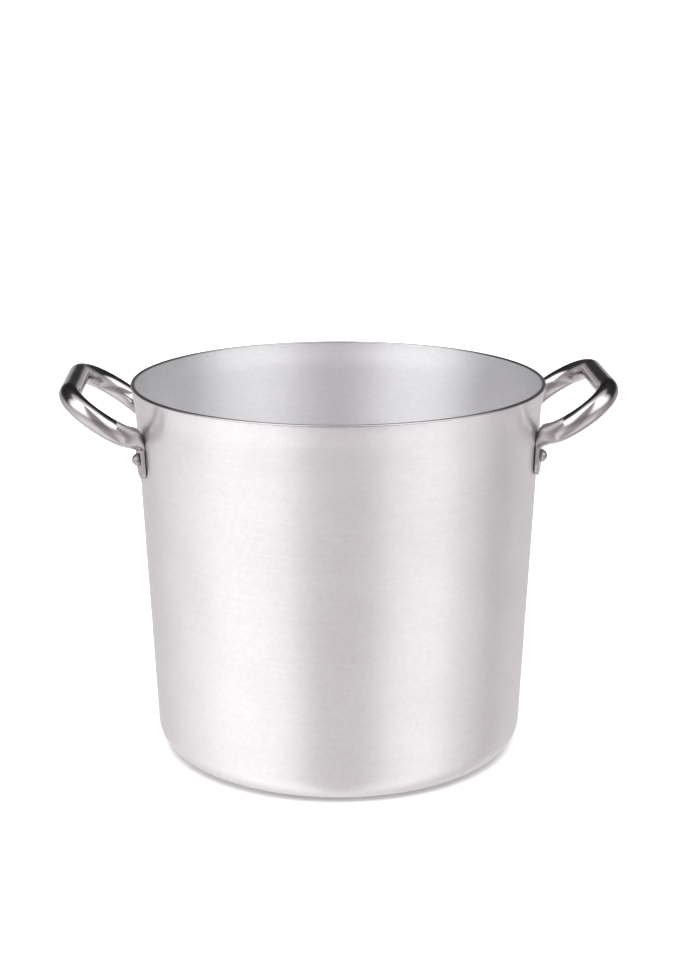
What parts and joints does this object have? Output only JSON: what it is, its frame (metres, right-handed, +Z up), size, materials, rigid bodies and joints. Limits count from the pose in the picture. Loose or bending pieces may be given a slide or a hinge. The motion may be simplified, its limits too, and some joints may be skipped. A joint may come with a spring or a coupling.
{
  "type": "stock pot",
  "caption": "Tall aluminium stock pot with a turned-out rim and two riveted stainless tube loop handles, without a lid.",
  "frame": {"origin": "centre of the underside of the base, on the pot's axis", "axes": "+Z up along the pot's axis, X through the two handles, -Y towards the front"},
  "size_m": [0.3832, 0.2898, 0.2706],
  "materials": {
    "aluminium_body": "satin, turned round the axis, in fine circular lines",
    "stainless_handle": "polished stainless tube",
    "rivet_metal": "dull, hammered head"
  },
  "bodies": {
    "root": {"pot_body": "aluminium_body", "handle_left": "stainless_handle", "handle_right": "stainless_handle", "rivet_left_front": "rivet_metal", "rivet_left_rear": "rivet_metal", "rivet_right_front": "rivet_metal", "rivet_right_rear": "rivet_metal"}
  },
  "joints": []
}
